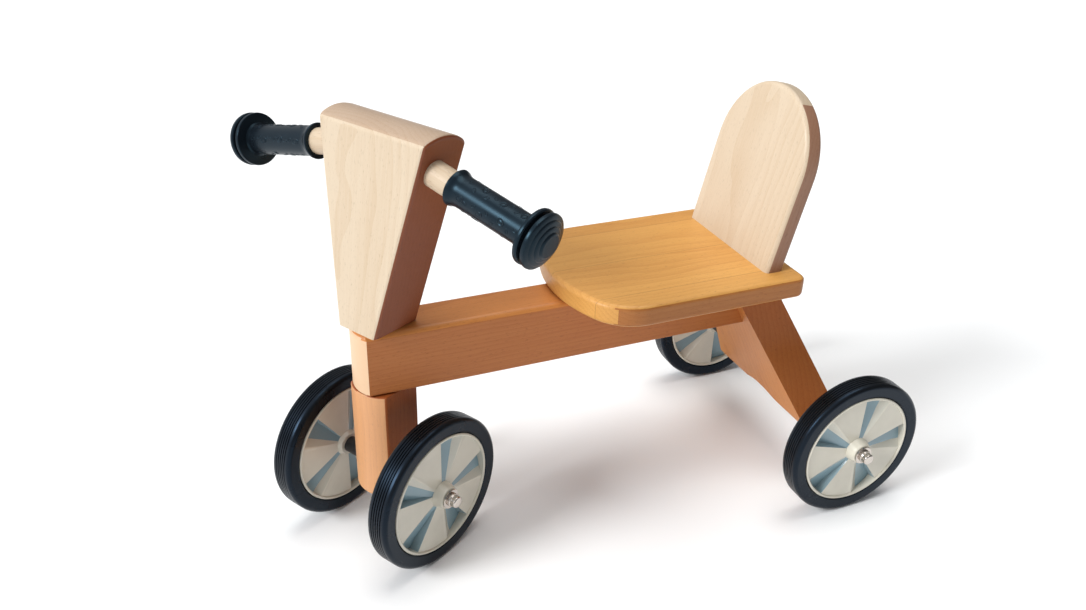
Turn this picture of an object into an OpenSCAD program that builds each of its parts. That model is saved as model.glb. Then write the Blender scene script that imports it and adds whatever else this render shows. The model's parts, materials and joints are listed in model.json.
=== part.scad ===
// Wooden four-wheel toddler ride-on. X points forward, +Y to the rider's left, +Z up.
// The origin lies on the ground, below the middle of the whole toy.

/* [Layout] */
// Distance between the front and the rear axle
wheelbase = 420; // [340:5:520]
// How far the steering stands turned to the rider's left as built, in degrees
steer_angle = 30; // [-40:1:40]
// Gap between the top of the front tyres and the underside of the beam
tyre_gap = 18; // [12:1:40]

/* [Wheels] */
// Outer diameter of a tyre
tyre_d = 142; // [110:1:180]
// Width of a tyre
tyre_w = 22; // [18:0.5:28]
// Thickness of the rubber from the wheel disc out to the tread
tyre_wall = 14; // [9:0.5:17]
// Middle of a front wheel from the steering axis, along the front axle
front_half_track = 59; // [48:1:80]
// Middle of a rear wheel from the centre plane
rear_half_track = 127.5; // [104:0.5:170]
// Diameter of the steel axles
axle_d = 8; // [6:0.5:10]
// Thickness of the plastic wall of a wheel hub and of its inner bush together
hub_wall = 9; // [7:0.5:12]
// How far a hub stands out past the rim on the outer side
hub_out = 7.5; // [4:0.5:10]

/* [Beam] */
// Width of the beam and of the front axle block
beam_w = 43; // [36:1:56]
// Height of the beam
beam_h = 58; // [46:1:72]
// How far the flat sides of the beam run in front of the steering axis
beam_nose_x = 15; // [12:1:20]
// How far the rounded nose stands out past its flat sides
nose_sag = 8.5; // [5:0.5:12]
// Rounding of the long edges of the beam
beam_edge_r = 6; // [3:0.5:9]

/* [Rear leg] */
// Thickness of the leaning rear leg board
leg_t = 38; // [32:1:46]
// Lean of the rear leg from vertical, its top forward, in degrees
leg_lean = 26.6; // [16:0.2:32]
// Spread of each side of the rear leg from vertical, in degrees
leg_spread = 20; // [10:0.5:24]
// How much wider the top of the rear leg is than the beam on each side
leg_shoulder = 3; // [0:0.5:8]
// Radius of the shallow arch cut level through the foot of the rear leg
leg_arch_r = 60; // [40:1:90]
// Wood between the axle and that arch
leg_arch_cover = 1.8; // [1.2:0.1:6]

/* [Seat] */
// Length of the seat board
seat_l = 213; // [180:1:240]
// Width of the seat board
seat_w = 170; // [130:1:210]
// Thickness of the seat board
seat_t = 20; // [16:0.5:26]
// Rear edge of the seat board in front of the rear axle
seat_rear = 50; // [30:1:70]
// Radius of the rounded front of the seat
seat_front_r = 132; // [110:1:170]
// Radius of the front corners of the seat
seat_corner_r = 45; // [20:1:55]

/* [Backrest] */
// Width of the backrest
back_w = 134; // [100:1:160]
// Height of the backrest along its own face
back_h = 156; // [110:1:190]
// Thickness of the backrest
back_t = 18; // [14:0.5:24]
// Backward lean of the backrest from vertical, in degrees
back_lean = 13.3; // [4:0.1:20]
// Foot of the backrest's front face in front of the rear edge of the seat
back_inset = 33; // [26:1:60]

/* [Steering head] */
// Height of the head block along its own lean
head_h = 171; // [140:1:210]
// Thickness of the head block
head_t = 48; // [40:1:56]
// Width of the head block at its foot
head_foot_w = 44; // [40:1:54]
// Width of the head block at its top
head_top_w = 117; // [90:1:130]
// Backward lean of the head block from vertical, in degrees
head_lean = 9.3; // [0:0.1:12]
// Radius of the domed top, front to back
head_dome_r = 43; // [32:1:70]
// Diameter of the steering column
column_d = 20; // [16:0.5:24]
// Depth of the steering column in the head block
column_in_head = 42; // [30:1:50]
// Depth of the steering column in the front axle block
column_in_block = 58; // [40:1:64]

/* [Handles] */
// Diameter of the wooden handle dowels
dowel_d = 22; // [18:0.5:24]
// Height of the handles on the head block, along its lean
handle_h = 140.5; // [110:0.5:150]
// Handle centre line in front of the middle of the head block
handle_fwd = 5; // [0:0.5:7]
// Length of a handle outside the head block, to the end of its dowel
handle_l = 108; // [90:1:140]
// Depth of a handle dowel in the head block
handle_in = 26; // [18:1:30]
// Bare wood between the head block and the grip
handle_bare = 23; // [10:1:40]
// Thickness of the rubber around a handle
grip_wall = 1.6; // [1.2:0.1:4]
// Diameter of the guard discs at the end of a grip
guard_d = 45; // [36:1:56]

/* [Fits] */
// Radial clearance of a part that turns on a pin
run_gap = 0.08; // [0.05:0.01:0.10]
// Radial clearance of a glued or pressed part
glue_gap = 0.05; // [0.02:0.01:0.10]
// End clearance between a turning part and its neighbour
end_gap = 0.4; // [0.3:0.1:1.0]
// Thickness of the glide washers above and below the beam
glide_t = 1.2; // [0.8:0.1:3]

/* [Hidden] */

$fn = 64;
eps = 0.01;             // overlap that lets a cut run clean through
big = 700;              // length of a cut that runs past everything

// wood and rubber colours
pale_beech = "#ead3b0";
oiled_beech = "#c98646";
red_beech = "#9c5734";
rubber_black = "#16181c";
cream = "#d8d8cc";
zinc = "#b3a99c";
nylon = "#3a3a3c";

// heights
axle_z = tyre_d / 2;
beam_z = tyre_d + tyre_gap;
beam_top = beam_z + beam_h;
seat_top = beam_top + seat_t;
glide_gap = 0.1;
head_z = beam_top + glide_t + glide_gap;
block_top = beam_z - glide_t - glide_gap;

// stations along X; the whole toy is centred on the origin
front_reach = front_half_track * sin(abs(steer_angle)) + tyre_d / 2 * cos(steer_angle)
    + tyre_w / 2 * sin(abs(steer_angle));
steer_x = (wheelbase + tyre_d / 2 - front_reach) / 2;
rear_x = steer_x - wheelbase;
seat_rear_x = rear_x + seat_rear;
seat_front_x = seat_rear_x + seat_l;
back_x = seat_rear_x + back_inset;

// wheels
disc_d = tyre_d - 2 * tyre_wall;
rim_t = 3;
web_t = tyre_w - 7;                     // leaves shallow pockets on both faces
hub_d = axle_d + 2 * hub_wall;
bush_wall = 2.5;
bush_d = axle_d + 2 * bush_wall;
tread_grooves = 4;
groove_w = 1.2;
groove_d = 1.2;
wedges = 5;
wedge_angle = 38;
wedge_top = tyre_w / 2 - 1;

// axle ends
washer_d = axle_d + 10;
washer_t = 1.5;
cap_d = axle_d + 4.5;
cap_l = 8;
cap_wall = 2;
spacer_d = axle_d + 7;
hub_in = 2;                             // how far a hub stands out past the rim on the inner side
front_hub_in = front_half_track - tyre_w / 2 - hub_in;
rear_hub_in = rear_half_track - tyre_w / 2 - hub_in;
front_hub_end = front_half_track + tyre_w / 2 + hub_out;
rear_hub_end = rear_half_track + tyre_w / 2 + hub_out;
axle_stub = washer_t + cap_l - cap_wall - 1;    // axle past the hub, inside its washer and cap

// front axle block
block_foot = 19;                        // wood below the axle centre
block_back = 22;                        // wood behind the steering axis
nose_r = (pow(beam_w / 2, 2) + pow(nose_sag, 2)) / (2 * nose_sag);

// rear leg
leg_t_x = leg_t / cos(leg_lean);        // its thickness measured along X
leg_top_half = beam_w / 2 + leg_shoulder;
leg_axle_half = leg_top_half + (beam_top - axle_z) * tan(leg_spread);
leg_len = (beam_top - axle_z) / cos(leg_lean);
leg_corner_r = 14;
leg_slope = (leg_axle_half - leg_top_half) / leg_len;
leg_side = leg_axle_half + spacer_d / 2 * leg_slope + glue_gap;   // where the rear spacers stand

// steering parts
column_low = block_top - column_in_block;
bush_od = column_d + 6;
glide_d = column_d + 9;
pin_d = 6;
pin_blind = 3;                          // length of a cross pin in front of the column
head_pin_z = column_in_head * 0.55;     // height of the cross pin in the head block
block_pin_z = block_top - column_in_block * 0.45;

// head block
head_taper = atan((head_top_w - head_foot_w) / 2 / head_h);
dowel_reach = handle_l + handle_in;
grip_d = dowel_d + 2 * grip_wall;
collar_l = 8;
collar_d = grip_d + 4;
guard_t = 4;
guard_gap = 3;
grip_end = 8;                           // grip past the end of the dowel
grip_l = handle_l + grip_end - handle_bare;
dome_d = 0.72 * guard_d;
dome_l = 6;
dome_step = 2;

// fasteners
bolt_d = 6;
bolt_head_d = 12;
bolt_head_t = 4;
nut_d = 10;
screw_d = 5;
screw_head_d = 10;
screw_l = 45;

// ---------- helpers ----------

// places children in the steering frame: its Z axis is the steering axis
module steered() { translate([steer_x, 0, 0]) rotate([0, 0, steer_angle]) children(); }

// places children in the head block's own leaning frame, with the foot at z = 0
module leaning() { translate([0, 0, head_z]) rotate([0, -head_lean, 0]) children(); }

// places children on the axle, with local Z pointing outwards to side (1 left, -1 right)
module on_front_axle(side) { steered() translate([0, 0, axle_z]) rotate([-90 * side, 0, 0]) children(); }
module on_rear_axle(side) { translate([rear_x, 0, axle_z]) rotate([-90 * side, 0, 0]) children(); }

// runs along Y through the middle of the given place
module y_rod(d, l) { rotate([90, 0, 0]) cylinder(d = d, h = l, center = true); }

module ring(od, id, h) {
    difference() {
        cylinder(d = od, h = h);
        translate([0, 0, -1]) cylinder(d = id, h = h + 2);
    }
}

module rounded_rect(w, h, r) {
    union() {
        translate([-w / 2, r]) square([w, h - 2 * r]);
        translate([-w / 2 + r, 0]) square([w - 2 * r, h]);
        for (x = [-1, 1], y = [r, h - r]) translate([x * (w / 2 - r), y]) circle(r = r);
    }
}

// plan of the beam's front end: flat sides and a rounded nose, steering axis at the origin
module nose_plan(back) {
    union() {
        translate([-back, -beam_w / 2]) square([back + beam_nose_x, beam_w]);
        intersection() {
            translate([beam_nose_x + nose_sag - nose_r, 0]) circle(r = nose_r, $fn = 128);
            translate([beam_nose_x - eps, -beam_w / 2]) square([nose_sag + 1, beam_w]);
        }
    }
}

// everything in front of the rear leg's leaning front face
module ahead_of_leg() {
    translate([rear_x, 0, axle_z]) rotate([0, leg_lean, 0])
        translate([leg_t / 2, -big / 2, -big]) cube([2 * big, big, 2 * big]);
}

// ---------- frame ----------

module beam() {
    color(oiled_beech) difference() {
        intersection() {
            translate([steer_x, 0, beam_z]) linear_extrude(beam_h) nose_plan(wheelbase);
            translate([steer_x - big, 0, beam_z]) rotate([90, 0, 90])
                linear_extrude(big + 100) rounded_rect(beam_w, beam_h, beam_edge_r);
            ahead_of_leg();
        }
        translate([steer_x, 0, beam_z - 1]) cylinder(d = bush_od, h = beam_h + 2);
        leg_bolt_holes();
        seat_screw_holes();
    }
}

// front outline of the rear leg in its own plane, axle centre at the origin
module leg_outline() {
    low = leg_t / 2 + 0.5;
    r = leg_corner_r;
    foot = leg_axle_half + low * leg_slope;
    top = leg_len + leg_t;
    q = sqrt(1 + pow(leg_slope, 2));
    corner = foot - r * (leg_slope + q);
    side = corner + r / q;
    side_z = -low + r + leg_slope * r / q;
    top_half = leg_top_half - (top - leg_len) * leg_slope;
    union() {
        polygon([[-corner, -low], [corner, -low], [side, side_z], [top_half, top],
            [-top_half, top], [-side, side_z]]);
        for (s = [-1, 1]) translate([s * corner, -low + r]) circle(r = r);
    }
}

// side outline of the rear leg: square above the axle, rounded about it below
module leg_profile() {
    union() {
        translate([-leg_t / 2, 0]) square([leg_t, leg_len + leg_t]);
        circle(r = leg_t / 2);
    }
}

module rear_leg() {
    color(red_beech) difference() {
        intersection() {
            translate([rear_x, 0, axle_z]) rotate([0, leg_lean, 0]) intersection() {
                rotate([90, 0, 90]) translate([0, 0, -leg_t]) linear_extrude(2 * leg_t) leg_outline();
                rotate([90, 0, 0]) translate([0, 0, -big / 2]) linear_extrude(big) leg_profile();
            }
            translate([-big, -big / 2, -big]) cube([2 * big, big, big + beam_top]);
        }
        translate([rear_x, 0, axle_z]) y_rod(axle_d + 2 * glue_gap, big);
        translate([rear_x, 0, axle_z - axle_d / 2 - leg_arch_cover - leg_arch_r]) rotate([0, 90, 0])
            cylinder(r = leg_arch_r, h = 4 * leg_t, center = true, $fn = 128);
        leg_bolt_holes();
    }
}

// two level bolts run from the leg's back face into the end of the beam
leg_bolt_rise = [0.3, 0.7];             // places along the beam's height
leg_bolt_sink = 4;                      // depth of a bolt head below the leg's back face
leg_bolt_l = leg_t_x + 34;
leg_nut_at = leg_t_x + 26;              // barrel nut centre in front of the leg's back face

// puts local Z along X, starting on the leg's back face at each bolt's height
module at_leg_bolts() {
    for (f = leg_bolt_rise) {
        rise = beam_z + beam_h * f - axle_z;
        translate([rear_x + rise * tan(leg_lean) - leg_t_x / 2, 0, axle_z + rise]) rotate([0, 90, 0]) children();
    }
}

module leg_bolt_holes() {
    at_leg_bolts() {
        translate([0, 0, -20]) cylinder(d = bolt_d + 2 * glue_gap, h = 20 + leg_bolt_l + 3);
        translate([0, 0, -20]) cylinder(d = bolt_head_d + 2 * glue_gap, h = 20 + leg_bolt_sink + bolt_head_t);
        translate([0, 0, leg_nut_at]) y_rod(nut_d + 2 * glue_gap, beam_w * 0.62);
    }
}

module leg_bolts() {
    color(zinc) at_leg_bolts() union() {
        translate([0, 0, leg_bolt_sink]) cylinder(d = bolt_head_d, h = bolt_head_t);
        translate([0, 0, leg_bolt_sink]) cylinder(d = bolt_d, h = leg_bolt_l - leg_bolt_sink);
    }
}

module leg_bolt_nuts() {
    color(zinc) at_leg_bolts() translate([0, 0, leg_nut_at]) difference() {
        y_rod(nut_d, beam_w * 0.6);
        translate([0, 0, -nut_d]) cylinder(d = bolt_d + 2 * glue_gap, h = 2 * nut_d);
    }
}

// plan of the seat, front at x = 0 and the board running to -X
module seat_plan() {
    rear_r = 8;
    half = seat_w / 2;
    r = seat_front_r;
    c = seat_corner_r;
    side_x = sqrt(pow(r - c, 2) - pow(half - c, 2)) - r;
    turn = atan2(half - c, side_x + r);
    union() {
        translate([-seat_l + rear_r, -half]) square([seat_l + side_x - rear_r, seat_w]);
        translate([-seat_l, -half + rear_r]) square([seat_l + side_x, seat_w - 2 * rear_r]);
        for (s = [-1, 1]) {
            translate([-seat_l + rear_r, s * (half - rear_r)]) circle(r = rear_r);
            translate([side_x, s * (half - c)]) circle(r = c);
        }
        // the part of the front arc between the two corners
        intersection() {
            translate([-r, 0]) circle(r = r, $fn = 192);
            polygon([[-r, 0], [r * cos(turn), 2 * r * sin(turn)], [r * cos(turn), -2 * r * sin(turn)]]);
        }
    }
}

module seat_board() {
    color(oiled_beech) difference() {
        translate([seat_front_x, 0, beam_top]) linear_extrude(seat_t) seat_plan();
        seat_screw_holes();
        backrest_screw_holes();
    }
}

// screws that come up through the beam into the seat
seat_screw_at = [0.16, 0.55];           // places along the seat's length

seat_bite = seat_t - 6;                 // screw thread in the seat
seat_screw_wood = 25;                   // beam left above a sunk screw head
seat_screw_head = 3;

module at_seat_screws() {
    for (f = seat_screw_at) translate([seat_front_x - seat_l * f, 0, 0]) children();
}

module seat_screw_holes() {
    at_seat_screws() {
        translate([0, 0, beam_z - 1]) cylinder(d = screw_head_d + 2 * glue_gap, h = 1 + beam_h - seat_screw_wood);
        translate([0, 0, beam_z]) cylinder(d = screw_d + 2 * glue_gap, h = beam_h + seat_bite + 1);
    }
}

module seat_screws() {
    color(zinc) at_seat_screws() translate([0, 0, beam_top - seat_screw_wood - seat_screw_head]) union() {
        cylinder(d = screw_head_d, h = seat_screw_head);
        cylinder(d = screw_d, h = seat_screw_wood + seat_screw_head + seat_bite);
    }
}

module in_back_frame() { translate([back_x, 0, seat_top]) rotate([0, -back_lean, 0]) children(); }

module backrest() {
    r = back_w / 2;
    color(pale_beech) difference() {
        intersection() {
            in_back_frame() rotate([90, 0, 90]) translate([0, 0, -back_t]) linear_extrude(back_t) union() {
                translate([-r, -20]) square([back_w, back_h - r + 20]);
                translate([0, back_h - r]) circle(r = r, $fn = 128);
            }
            translate([-big, -big / 2, seat_top]) cube([2 * big, big, big]);
        }
        backrest_screw_holes();
    }
}

// screws that come up through the seat into the foot of the backrest, either side of the leg
back_screw_y = 0.34 * back_w;
back_screw_x = back_x - back_t / 2 / cos(back_lean) + seat_t * tan(back_lean);

module at_back_screws() {
    for (s = [-1, 1]) translate([back_screw_x, s * back_screw_y, beam_top])
        rotate([0, -back_lean, 0]) children();
}

module backrest_screw_holes() {
    at_back_screws() union() {
        translate([0, 0, -10]) cylinder(d = screw_head_d + 2 * glue_gap, h = 10 + 5);
        cylinder(d = screw_d + 2 * glue_gap, h = screw_l + 2);
    }
}

module backrest_screws() {
    color(zinc) at_back_screws() translate([0, 0, 2]) union() {
        cylinder(d = screw_head_d, h = 3);
        cylinder(d = screw_d, h = screw_l - 2);
    }
}

module steering_bush() {
    color(nylon) translate([steer_x, 0, beam_z])
        ring(bush_od - 2 * glue_gap, column_d + 2 * run_gap, beam_h);
}

module glide_washer_upper() {
    color(nylon) translate([steer_x, 0, beam_top]) ring(glide_d, column_d + 1, glide_t);
}

module glide_washer_lower() {
    color(nylon) translate([steer_x, 0, beam_z - glide_t]) ring(glide_d, column_d + 1, glide_t);
}

// ---------- axles ----------

module axle_rod(half) { color(zinc) y_rod(axle_d, 2 * half); }

module spacer_pair(from, to) {
    for (s = [-1, 1]) rotate([-90 * s, 0, 0]) translate([0, 0, from])
        ring(spacer_d, axle_d + 2 * glue_gap, to - end_gap - from);
}

module washer_pair(at) {
    for (s = [-1, 1]) rotate([-90 * s, 0, 0]) translate([0, 0, at + end_gap])
        ring(washer_d, axle_d + 2 * glue_gap, washer_t);
}

// closed push-on caps with a slightly domed end
module cap_pair(at) {
    for (s = [-1, 1]) rotate([-90 * s, 0, 0]) translate([0, 0, at + end_gap + washer_t]) difference() {
        union() {
            cylinder(d = cap_d, h = cap_l - 1);
            cylinder(d = cap_d - 2, h = cap_l);
        }
        translate([0, 0, -1]) cylinder(d = axle_d + 2 * glue_gap, h = 1 + cap_l - cap_wall);
    }
}

module rear_axle() { translate([rear_x, 0, axle_z]) axle_rod(rear_hub_end + axle_stub); }
module rear_spacers() { color(nylon) translate([rear_x, 0, axle_z]) spacer_pair(leg_side, rear_hub_in); }
module rear_washers() { color(zinc) translate([rear_x, 0, axle_z]) washer_pair(rear_hub_end); }
module rear_axle_caps() { color(zinc) translate([rear_x, 0, axle_z]) cap_pair(rear_hub_end); }

module front_axle() { steered() translate([0, 0, axle_z]) axle_rod(front_hub_end + axle_stub); }
module front_spacers() { color(nylon) steered() translate([0, 0, axle_z]) spacer_pair(beam_w / 2 + glue_gap, front_hub_in); }
module front_washers() { color(zinc) steered() translate([0, 0, axle_z]) washer_pair(front_hub_end); }
module front_axle_caps() { color(zinc) steered() translate([0, 0, axle_z]) cap_pair(front_hub_end); }

// ---------- wheels: local Z points outwards, the wheel's middle plane at z = 0 ----------

module wheel_disc() {
    inner = disc_d / 2 - rim_t;
    color(cream) difference() {
        union() {
            translate([0, 0, -tyre_w / 2]) ring(disc_d, 2 * inner, tyre_w);
            translate([0, 0, -web_t / 2]) cylinder(r = inner + eps, h = web_t);
            translate([0, 0, -tyre_w / 2 - hub_in]) cylinder(d = hub_d, h = tyre_w + hub_in + hub_out);
            // raised wedges between hub and rim
            for (i = [0 : wedges - 1]) rotate([0, 0, i * 360 / wedges]) intersection() {
                translate([0, 0, -wedge_top]) cylinder(r = inner + eps, h = 2 * wedge_top);
                translate([0, 0, -wedge_top]) linear_extrude(2 * wedge_top) polygon([[0, 0], [disc_d, -disc_d * tan(wedge_angle / 2)],
                    [disc_d, disc_d * tan(wedge_angle / 2)]]);
            }
        }
        translate([0, 0, -tyre_w]) cylinder(d = bush_d + 2 * glue_gap, h = 2 * tyre_w + hub_out);
    }
}

module wheel_bush() {
    color(nylon) translate([0, 0, -tyre_w / 2 - hub_in])
        ring(bush_d, axle_d + 2 * run_gap, tyre_w + hub_in + hub_out);
}

module tyre() {
    shoulder = 4;
    r0 = disc_d / 2 + glue_gap;
    r1 = tyre_d / 2;
    h = tyre_w / 2;
    pitch = (tyre_w - 2 * shoulder) / (tread_grooves - 1);
    color(rubber_black) difference() {
        rotate_extrude($fn = 96) difference() {
            union() {
                translate([r0, -h]) square([r1 - shoulder - r0, tyre_w]);
                translate([r1 - shoulder - eps, -h + shoulder]) square([shoulder + eps, tyre_w - 2 * shoulder]);
                for (s = [-1, 1]) translate([r1 - shoulder, s * (h - shoulder)]) circle(r = shoulder);
            }
            for (i = [0 : tread_grooves - 1]) translate([r1 - groove_d, -h + shoulder + i * pitch - groove_w / 2])
                square([groove_d + 1, groove_w]);
        }
    }
}

module front_wheel_place(side) { on_front_axle(side) translate([0, 0, front_half_track]) children(); }
module rear_wheel_place(side) { on_rear_axle(side) translate([0, 0, rear_half_track]) children(); }

module wheel_disc_front_left() { front_wheel_place(1) wheel_disc(); }
module wheel_disc_front_right() { front_wheel_place(-1) wheel_disc(); }
module wheel_disc_rear_left() { rear_wheel_place(1) wheel_disc(); }
module wheel_disc_rear_right() { rear_wheel_place(-1) wheel_disc(); }
module wheel_bush_front_left() { front_wheel_place(1) wheel_bush(); }
module wheel_bush_front_right() { front_wheel_place(-1) wheel_bush(); }
module wheel_bush_rear_left() { rear_wheel_place(1) wheel_bush(); }
module wheel_bush_rear_right() { rear_wheel_place(-1) wheel_bush(); }
module tyre_front_left() { front_wheel_place(1) tyre(); }
module tyre_front_right() { front_wheel_place(-1) tyre(); }
module tyre_rear_left() { rear_wheel_place(1) tyre(); }
module tyre_rear_right() { rear_wheel_place(-1) tyre(); }

// ---------- steering ----------

module column_solid(gap) {
    translate([0, 0, column_low - gap]) cylinder(d = column_d + 2 * gap, h = head_z + column_in_head - column_low + 2 * gap);
}

module steering_column() {
    color(zinc) steered() difference() {
        column_solid(0);
        cross_pin_holes();
    }
}

// cross pins from the back faces hold the column in the head and in the block
module cross_pin(z, d, end) {
    front = column_d / 2 + pin_blind;
    translate([front, 0, z]) rotate([0, -90, 0]) cylinder(d = d, h = front + end);
}
head_pin_end = head_t / 2 / cos(head_lean) + head_pin_z * tan(head_lean) - 2;
block_pin_end = block_back - 1;

module cross_pin_holes() {
    cross_pin(head_z + head_pin_z, pin_d + 2 * glue_gap, head_pin_end + 10);
    cross_pin(block_pin_z, pin_d + 2 * glue_gap, block_pin_end + 10);
}

module head_cross_pin() { color(pale_beech) steered() cross_pin(head_z + head_pin_z, pin_d, head_pin_end); }
module block_cross_pin() { color(pale_beech) steered() cross_pin(block_pin_z, pin_d, block_pin_end); }

module front_axle_block() {
    low = axle_z - block_foot;
    color(red_beech) steered() difference() {
        translate([0, 0, low]) linear_extrude(block_top - low) nose_plan(block_back);
        column_solid(glue_gap);
        translate([0, 0, axle_z]) y_rod(axle_d + 2 * glue_gap, beam_w + 2);
        cross_pin_holes();
    }
}

// side and front outlines of the head block, in its leaning frame
module head_side() {
    union() {
        translate([-head_t / 2, -20]) square([head_t, head_h - head_dome_r + sqrt(pow(head_dome_r, 2) - pow(head_t / 2, 2)) + 20]);
        intersection() {
            translate([0, head_h - head_dome_r]) circle(r = head_dome_r, $fn = 128);
            translate([-head_t / 2, head_h - head_dome_r]) square([head_t, head_dome_r + 1]);
        }
    }
}

module head_front() {
    k = tan(head_taper);
    polygon([[-head_foot_w / 2 + 20 * k, -20], [head_foot_w / 2 - 20 * k, -20],
        [head_top_w / 2 + k, head_h + 1], [-head_top_w / 2 - k, head_h + 1]]);
}

module head_block() {
    color(pale_beech) steered() difference() {
        intersection() {
            leaning() rotate([90, 0, 0]) translate([0, 0, -big / 2]) linear_extrude(big) head_side();
            leaning() rotate([90, 0, 90]) translate([0, 0, -big / 2]) linear_extrude(big) head_front();
            translate([-big / 2, -big / 2, head_z]) cube([big, big, big]);
        }
        column_solid(glue_gap);
        cross_pin_holes();
        for (s = [-1, 1]) on_handle(s) translate([0, 0, -handle_in - glue_gap])
            cylinder(d = dowel_d + 2 * glue_gap, h = handle_in + 40);
    }
}

// inside steered(): local Z runs out along a handle from the head block's side face; side is 1 left, -1 right
module on_handle(side) {
    half = head_foot_w / 2 + handle_h * tan(head_taper);
    leaning() translate([handle_fwd, side * half, handle_h])
        rotate([-side * (90 + head_taper), 0, 0]) children();
}

module handle_dowel(side) {
    color(pale_beech) steered() on_handle(side) translate([0, 0, -handle_in]) cylinder(d = dowel_d, h = dowel_reach);
}
module handle_dowel_left() { handle_dowel(1); }
module handle_dowel_right() { handle_dowel(-1); }

module grip(side) {
    guard_z = grip_l - dome_l - guard_t;
    color(rubber_black) steered() on_handle(side) translate([0, 0, handle_bare]) difference() {
        union() {
            cylinder(d = grip_d, h = guard_z);
            cylinder(d1 = collar_d, d2 = grip_d, h = collar_l);
            // two guard discs with a groove between them, and a stepped end
            for (z = [guard_z - guard_t - guard_gap, guard_z]) translate([0, 0, z]) cylinder(d = guard_d, h = guard_t);
            for (i = [0 : 2]) translate([0, 0, guard_z]) cylinder(d = dome_d - 9 * i, h = guard_t + dome_step * (i + 1));
        }
        translate([0, 0, -1]) cylinder(d = dowel_d + 2 * glue_gap, h = handle_l - handle_bare + 1 + glue_gap);
    }
}
module grip_left() { grip(1); }
module grip_right() { grip(-1); }

beam();
rear_leg();
seat_board();
backrest();
leg_bolts();
leg_bolt_nuts();
seat_screws();
backrest_screws();
steering_bush();
glide_washer_upper();
glide_washer_lower();
rear_axle();
rear_spacers();
rear_washers();
rear_axle_caps();
head_block();
steering_column();
head_cross_pin();
block_cross_pin();
handle_dowel_left();
handle_dowel_right();
grip_left();
grip_right();
front_axle_block();
front_axle();
front_spacers();
front_washers();
front_axle_caps();
wheel_disc_front_left();
wheel_disc_front_right();
wheel_disc_rear_left();
wheel_disc_rear_right();
wheel_bush_front_left();
wheel_bush_front_right();
wheel_bush_rear_left();
wheel_bush_rear_right();
tyre_front_left();
tyre_front_right();
tyre_rear_left();
tyre_rear_right();
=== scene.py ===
"""Looks of a wooden four-wheel toddler ride-on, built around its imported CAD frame.

Each piece is modelled in millimetres in a frame of its own, then placed in the row frame.
"""

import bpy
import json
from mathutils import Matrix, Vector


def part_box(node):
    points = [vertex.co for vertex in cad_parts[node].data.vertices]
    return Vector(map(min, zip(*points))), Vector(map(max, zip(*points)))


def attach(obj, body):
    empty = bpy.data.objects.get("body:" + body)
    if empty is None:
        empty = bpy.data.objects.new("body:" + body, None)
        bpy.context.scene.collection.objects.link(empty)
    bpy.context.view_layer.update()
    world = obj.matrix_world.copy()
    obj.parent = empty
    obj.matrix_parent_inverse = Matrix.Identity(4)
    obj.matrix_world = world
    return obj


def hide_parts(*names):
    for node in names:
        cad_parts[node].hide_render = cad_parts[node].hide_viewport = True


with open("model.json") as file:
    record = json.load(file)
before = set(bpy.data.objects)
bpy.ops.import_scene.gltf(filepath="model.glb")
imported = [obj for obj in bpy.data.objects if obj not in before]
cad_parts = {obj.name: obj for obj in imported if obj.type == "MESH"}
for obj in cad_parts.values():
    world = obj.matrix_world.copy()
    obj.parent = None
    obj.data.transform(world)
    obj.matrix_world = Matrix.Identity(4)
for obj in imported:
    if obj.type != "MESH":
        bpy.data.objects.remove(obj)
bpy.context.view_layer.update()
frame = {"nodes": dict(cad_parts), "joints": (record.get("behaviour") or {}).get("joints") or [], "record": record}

import json
import random
from math import atan2, cos, degrees, hypot, pi, radians, sin, sqrt, tan

import bmesh
import bpy
from mathutils import Matrix, Vector

bl_info = {
    "name": "Wooden ride-on looks",
    "version": (1, 0, 0),
    "blender": (4, 5, 0),
    "location": "3D View > Sidebar > Ride-on",
    "description": "Builds the shown pieces of a wooden four-wheel ride-on",
    "category": "Object",
}

MM = 0.001
SIDES = {"left": 1, "right": -1}

# Wheels, in millimetres
TYRE_RADIUS, TYRE_HALF_WIDTH = 71.0, 11
FRONT_HALF_TRACK, REAR_HALF_TRACK = 59.0, 127.5
HUB_OUT, HUB_GAP = 7.5, 0.4
# Wheel disc pattern, in degrees: each turn is a raised wedge, then a pocket with a steep wall and a slanted floor
PATTERN_TURN, WEDGE_END, WALL_END, FLOOR_END, PATTERN_START = 72, 38, 40, 60, 20
# Grip, in millimetres from the middle of the head
GRIP_TUBE_RADIUS, GRIP_START, GRIP_END = 12.6, 23.0, 116.0
X_AXIS, Y_AXIS, Z_AXIS = Vector((1, 0, 0)), Vector((0, 1, 0)), Vector((0, 0, 1))


# ---------- places, read from the frame ----------

def joint(name):
    return next(j for j in frame["joints"] if j["name"] == name)


def low(node, i):
    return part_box(node)[0][i] / MM


def high(node, i):
    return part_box(node)[1][i] / MM


def middle(node, i):
    return (low(node, i) + high(node, i)) / 2


STEER_X = joint("steering_turn")["pos_m"][0] / MM
_spin_axis = joint("spin_front_left")["axis"]
STEER_ANGLE = atan2(-_spin_axis[0], _spin_axis[1])
REAR_X = middle("rear_axle", 0)
AXLE_Z = middle("rear_axle", 2)
BEAM_Z = low("beam", 2)
BEAM_TOP = high("beam", 2)
SEAT_TOP = high("seat_board", 2)
HEAD_Z = low("head_block", 2)


def shift(x, y, z):
    return Matrix.Translation((x, y, z))


def turn(angle, axis):
    return Matrix.Rotation(angle, 4, axis)


STEERED = shift(STEER_X, 0, 0) @ turn(STEER_ANGLE, "Z")


def front_axle(side):
    return STEERED @ shift(0, 0, AXLE_Z) @ turn(-side * pi / 2, "X")


def rear_axle(side):
    return shift(REAR_X, 0, AXLE_Z) @ turn(-side * pi / 2, "X")


def axle_end(place):
    """The axle frame for a name such as front_left: local Z points outwards."""
    end, side = place.split("_")
    return (front_axle if end == "front" else rear_axle)(SIDES[side])


# ---------- modelling helpers ----------

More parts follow.
